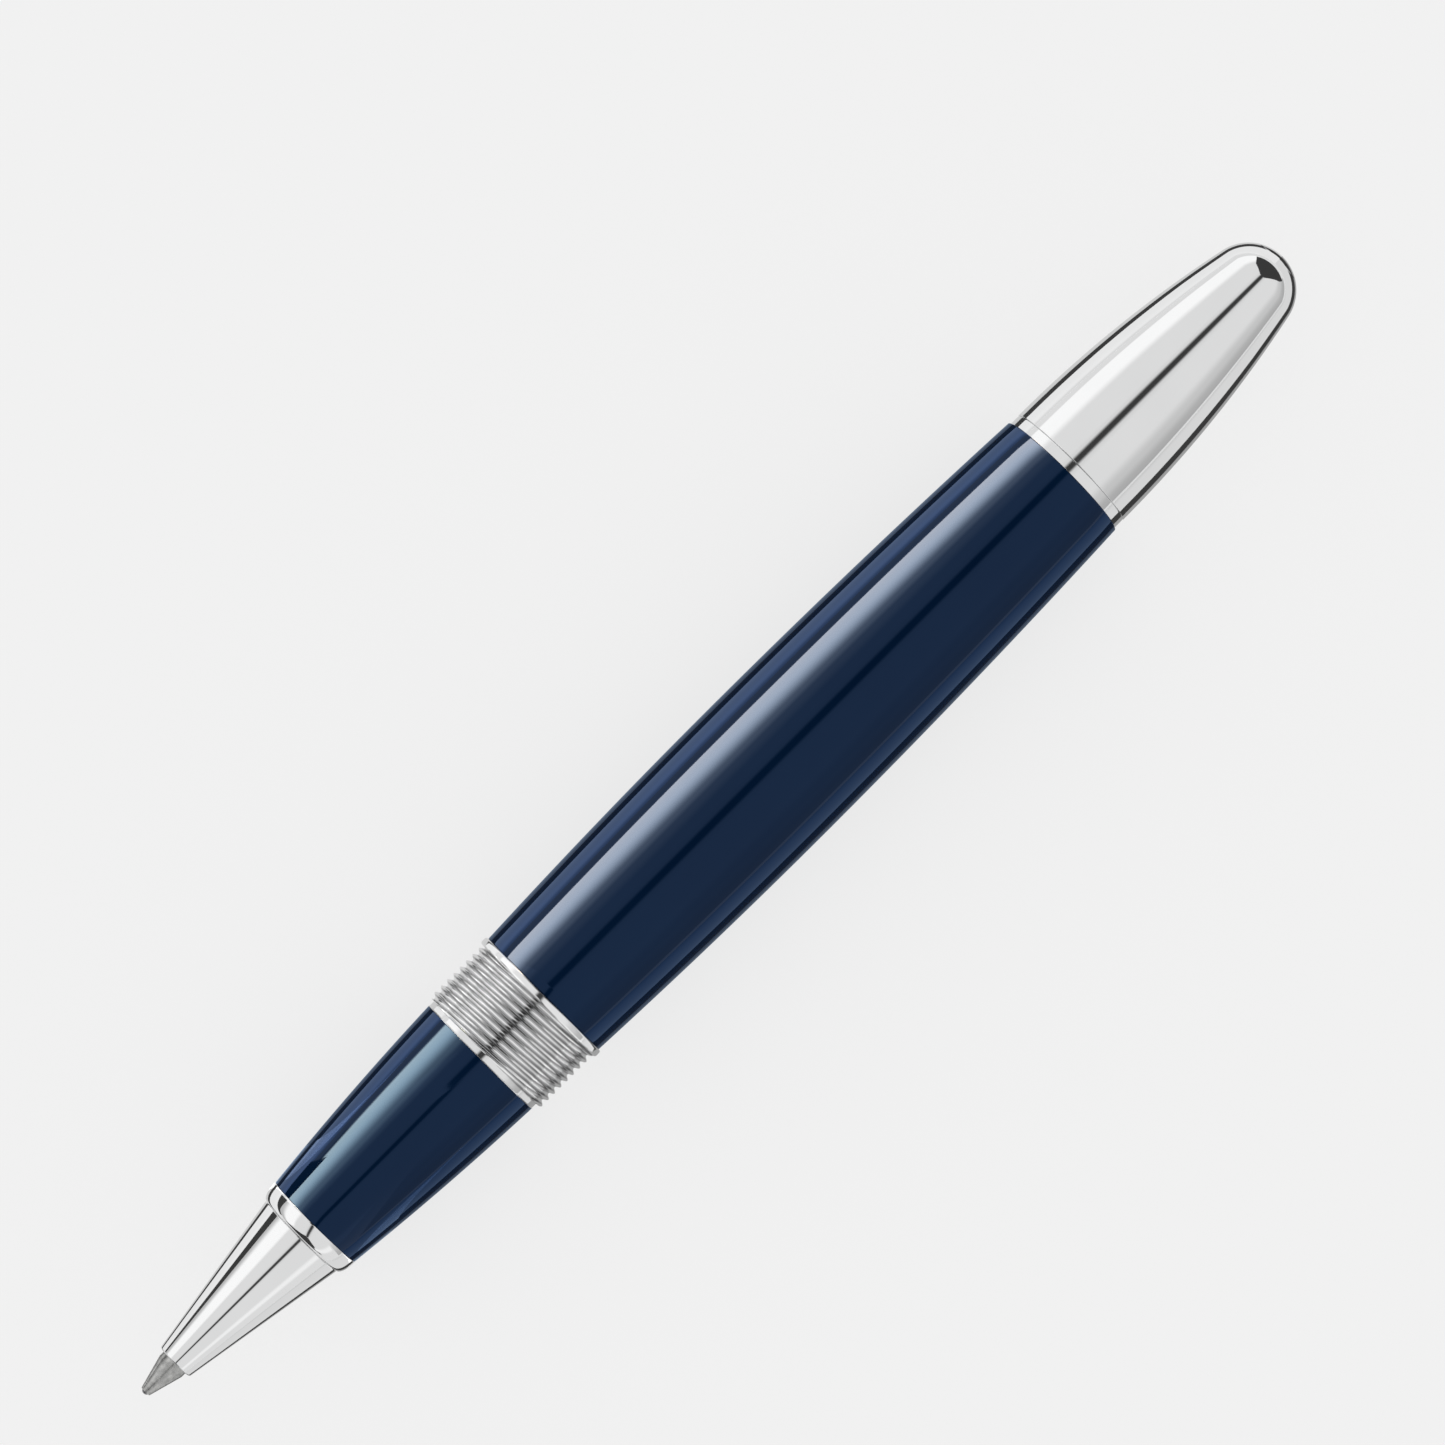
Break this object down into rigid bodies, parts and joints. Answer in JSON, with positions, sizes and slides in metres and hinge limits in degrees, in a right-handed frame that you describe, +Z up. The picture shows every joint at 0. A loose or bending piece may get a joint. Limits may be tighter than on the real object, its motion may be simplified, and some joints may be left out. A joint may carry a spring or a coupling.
{
  "type": "rollerball pen",
  "caption": "Uncapped rollerball pen: dark blue lacquered grip and barrel, bright metal nose, rings and tail, a section that unscrews, and a sprung refill inside.",
  "frame": {"origin": "bottom centre of the pen's box: midway along the pen, on the surface that it lies on", "axes": "+X along the pen from the writing tip to the tail, +Z up, away from the surface it lies on"},
  "size_m": [0.1298, 0.0138, 0.0137],
  "materials": {
    "navy_lacquer": "deep navy lacquer, polished to a high gloss",
    "bright_plating": "mirror-polished platinum-coloured plating",
    "nickel_silver_tip": "fine-turned, matte grey",
    "carbide_ball": "ground, wet with ink",
    "refill_plastic": "moulded, satin",
    "refill_metal": "drawn, satin",
    "ink_fibre": "bonded fibre soaked with ink",
    "turned_brass": "turned, unplated",
    "seal_rubber": "moulded, matte",
    "spring_steel": "drawn wire, bright"
  },
  "bodies": {
    "barrel_assembly": {"barrel": "navy_lacquer", "barrel_liner": "turned_brass", "cap_thread_ring": "bright_plating", "mouth_ring": "bright_plating", "tail_ring": "bright_plating", "tail_cone": "bright_plating", "tail_core": "turned_brass", "refill_spring": "spring_steel"},
    "seal_carrier": {"section_seal": "seal_rubber"},
    "section": {"grip": "navy_lacquer", "grip_liner": "turned_brass", "nose_cone": "bright_plating", "front_ring": "bright_plating"},
    "refill": {"refill_tip": "nickel_silver_tip", "tip_holder": "refill_plastic", "feed_rod": "ink_fibre", "ink_reservoir": "ink_fibre", "refill_tube": "refill_metal", "refill_end_plug": "refill_plastic", "refill_follower": "refill_plastic"},
    "ball": {"writing_ball": "carbide_ball"}
  },
  "joints": [
    {"name": "section_travel", "type": "slide", "parent": "barrel_assembly", "child": "seal_carrier", "axis": [-1, 0, 0], "range_m": [0, 0.006], "deforming": ["refill_spring"]},
    {"name": "section_unscrew", "type": "hinge", "parent": "seal_carrier", "child": "section", "pos_m": [-0.0361, 0, 0.00687], "axis": [-1, 0, 0], "range_deg": [0, 2160]},
    {"name": "refill_give", "type": "slide", "parent": "seal_carrier", "child": "refill", "axis": [1, 0, 0], "range_m": [0, 0.001], "stiffness_N_per_m": 400, "springref_m": -0.004, "deforming": ["refill_spring"]},
    {"name": "ball_roll", "type": "hinge", "parent": "refill", "child": "ball", "pos_m": [-0.06455, 0, 0.00687], "axis": [0, 1, 0], "continuous": true}
  ],
  "couplings": [
    {"joint": "section_unscrew", "follows": "section_travel", "rad_per_m": 6283.2}
  ]
}
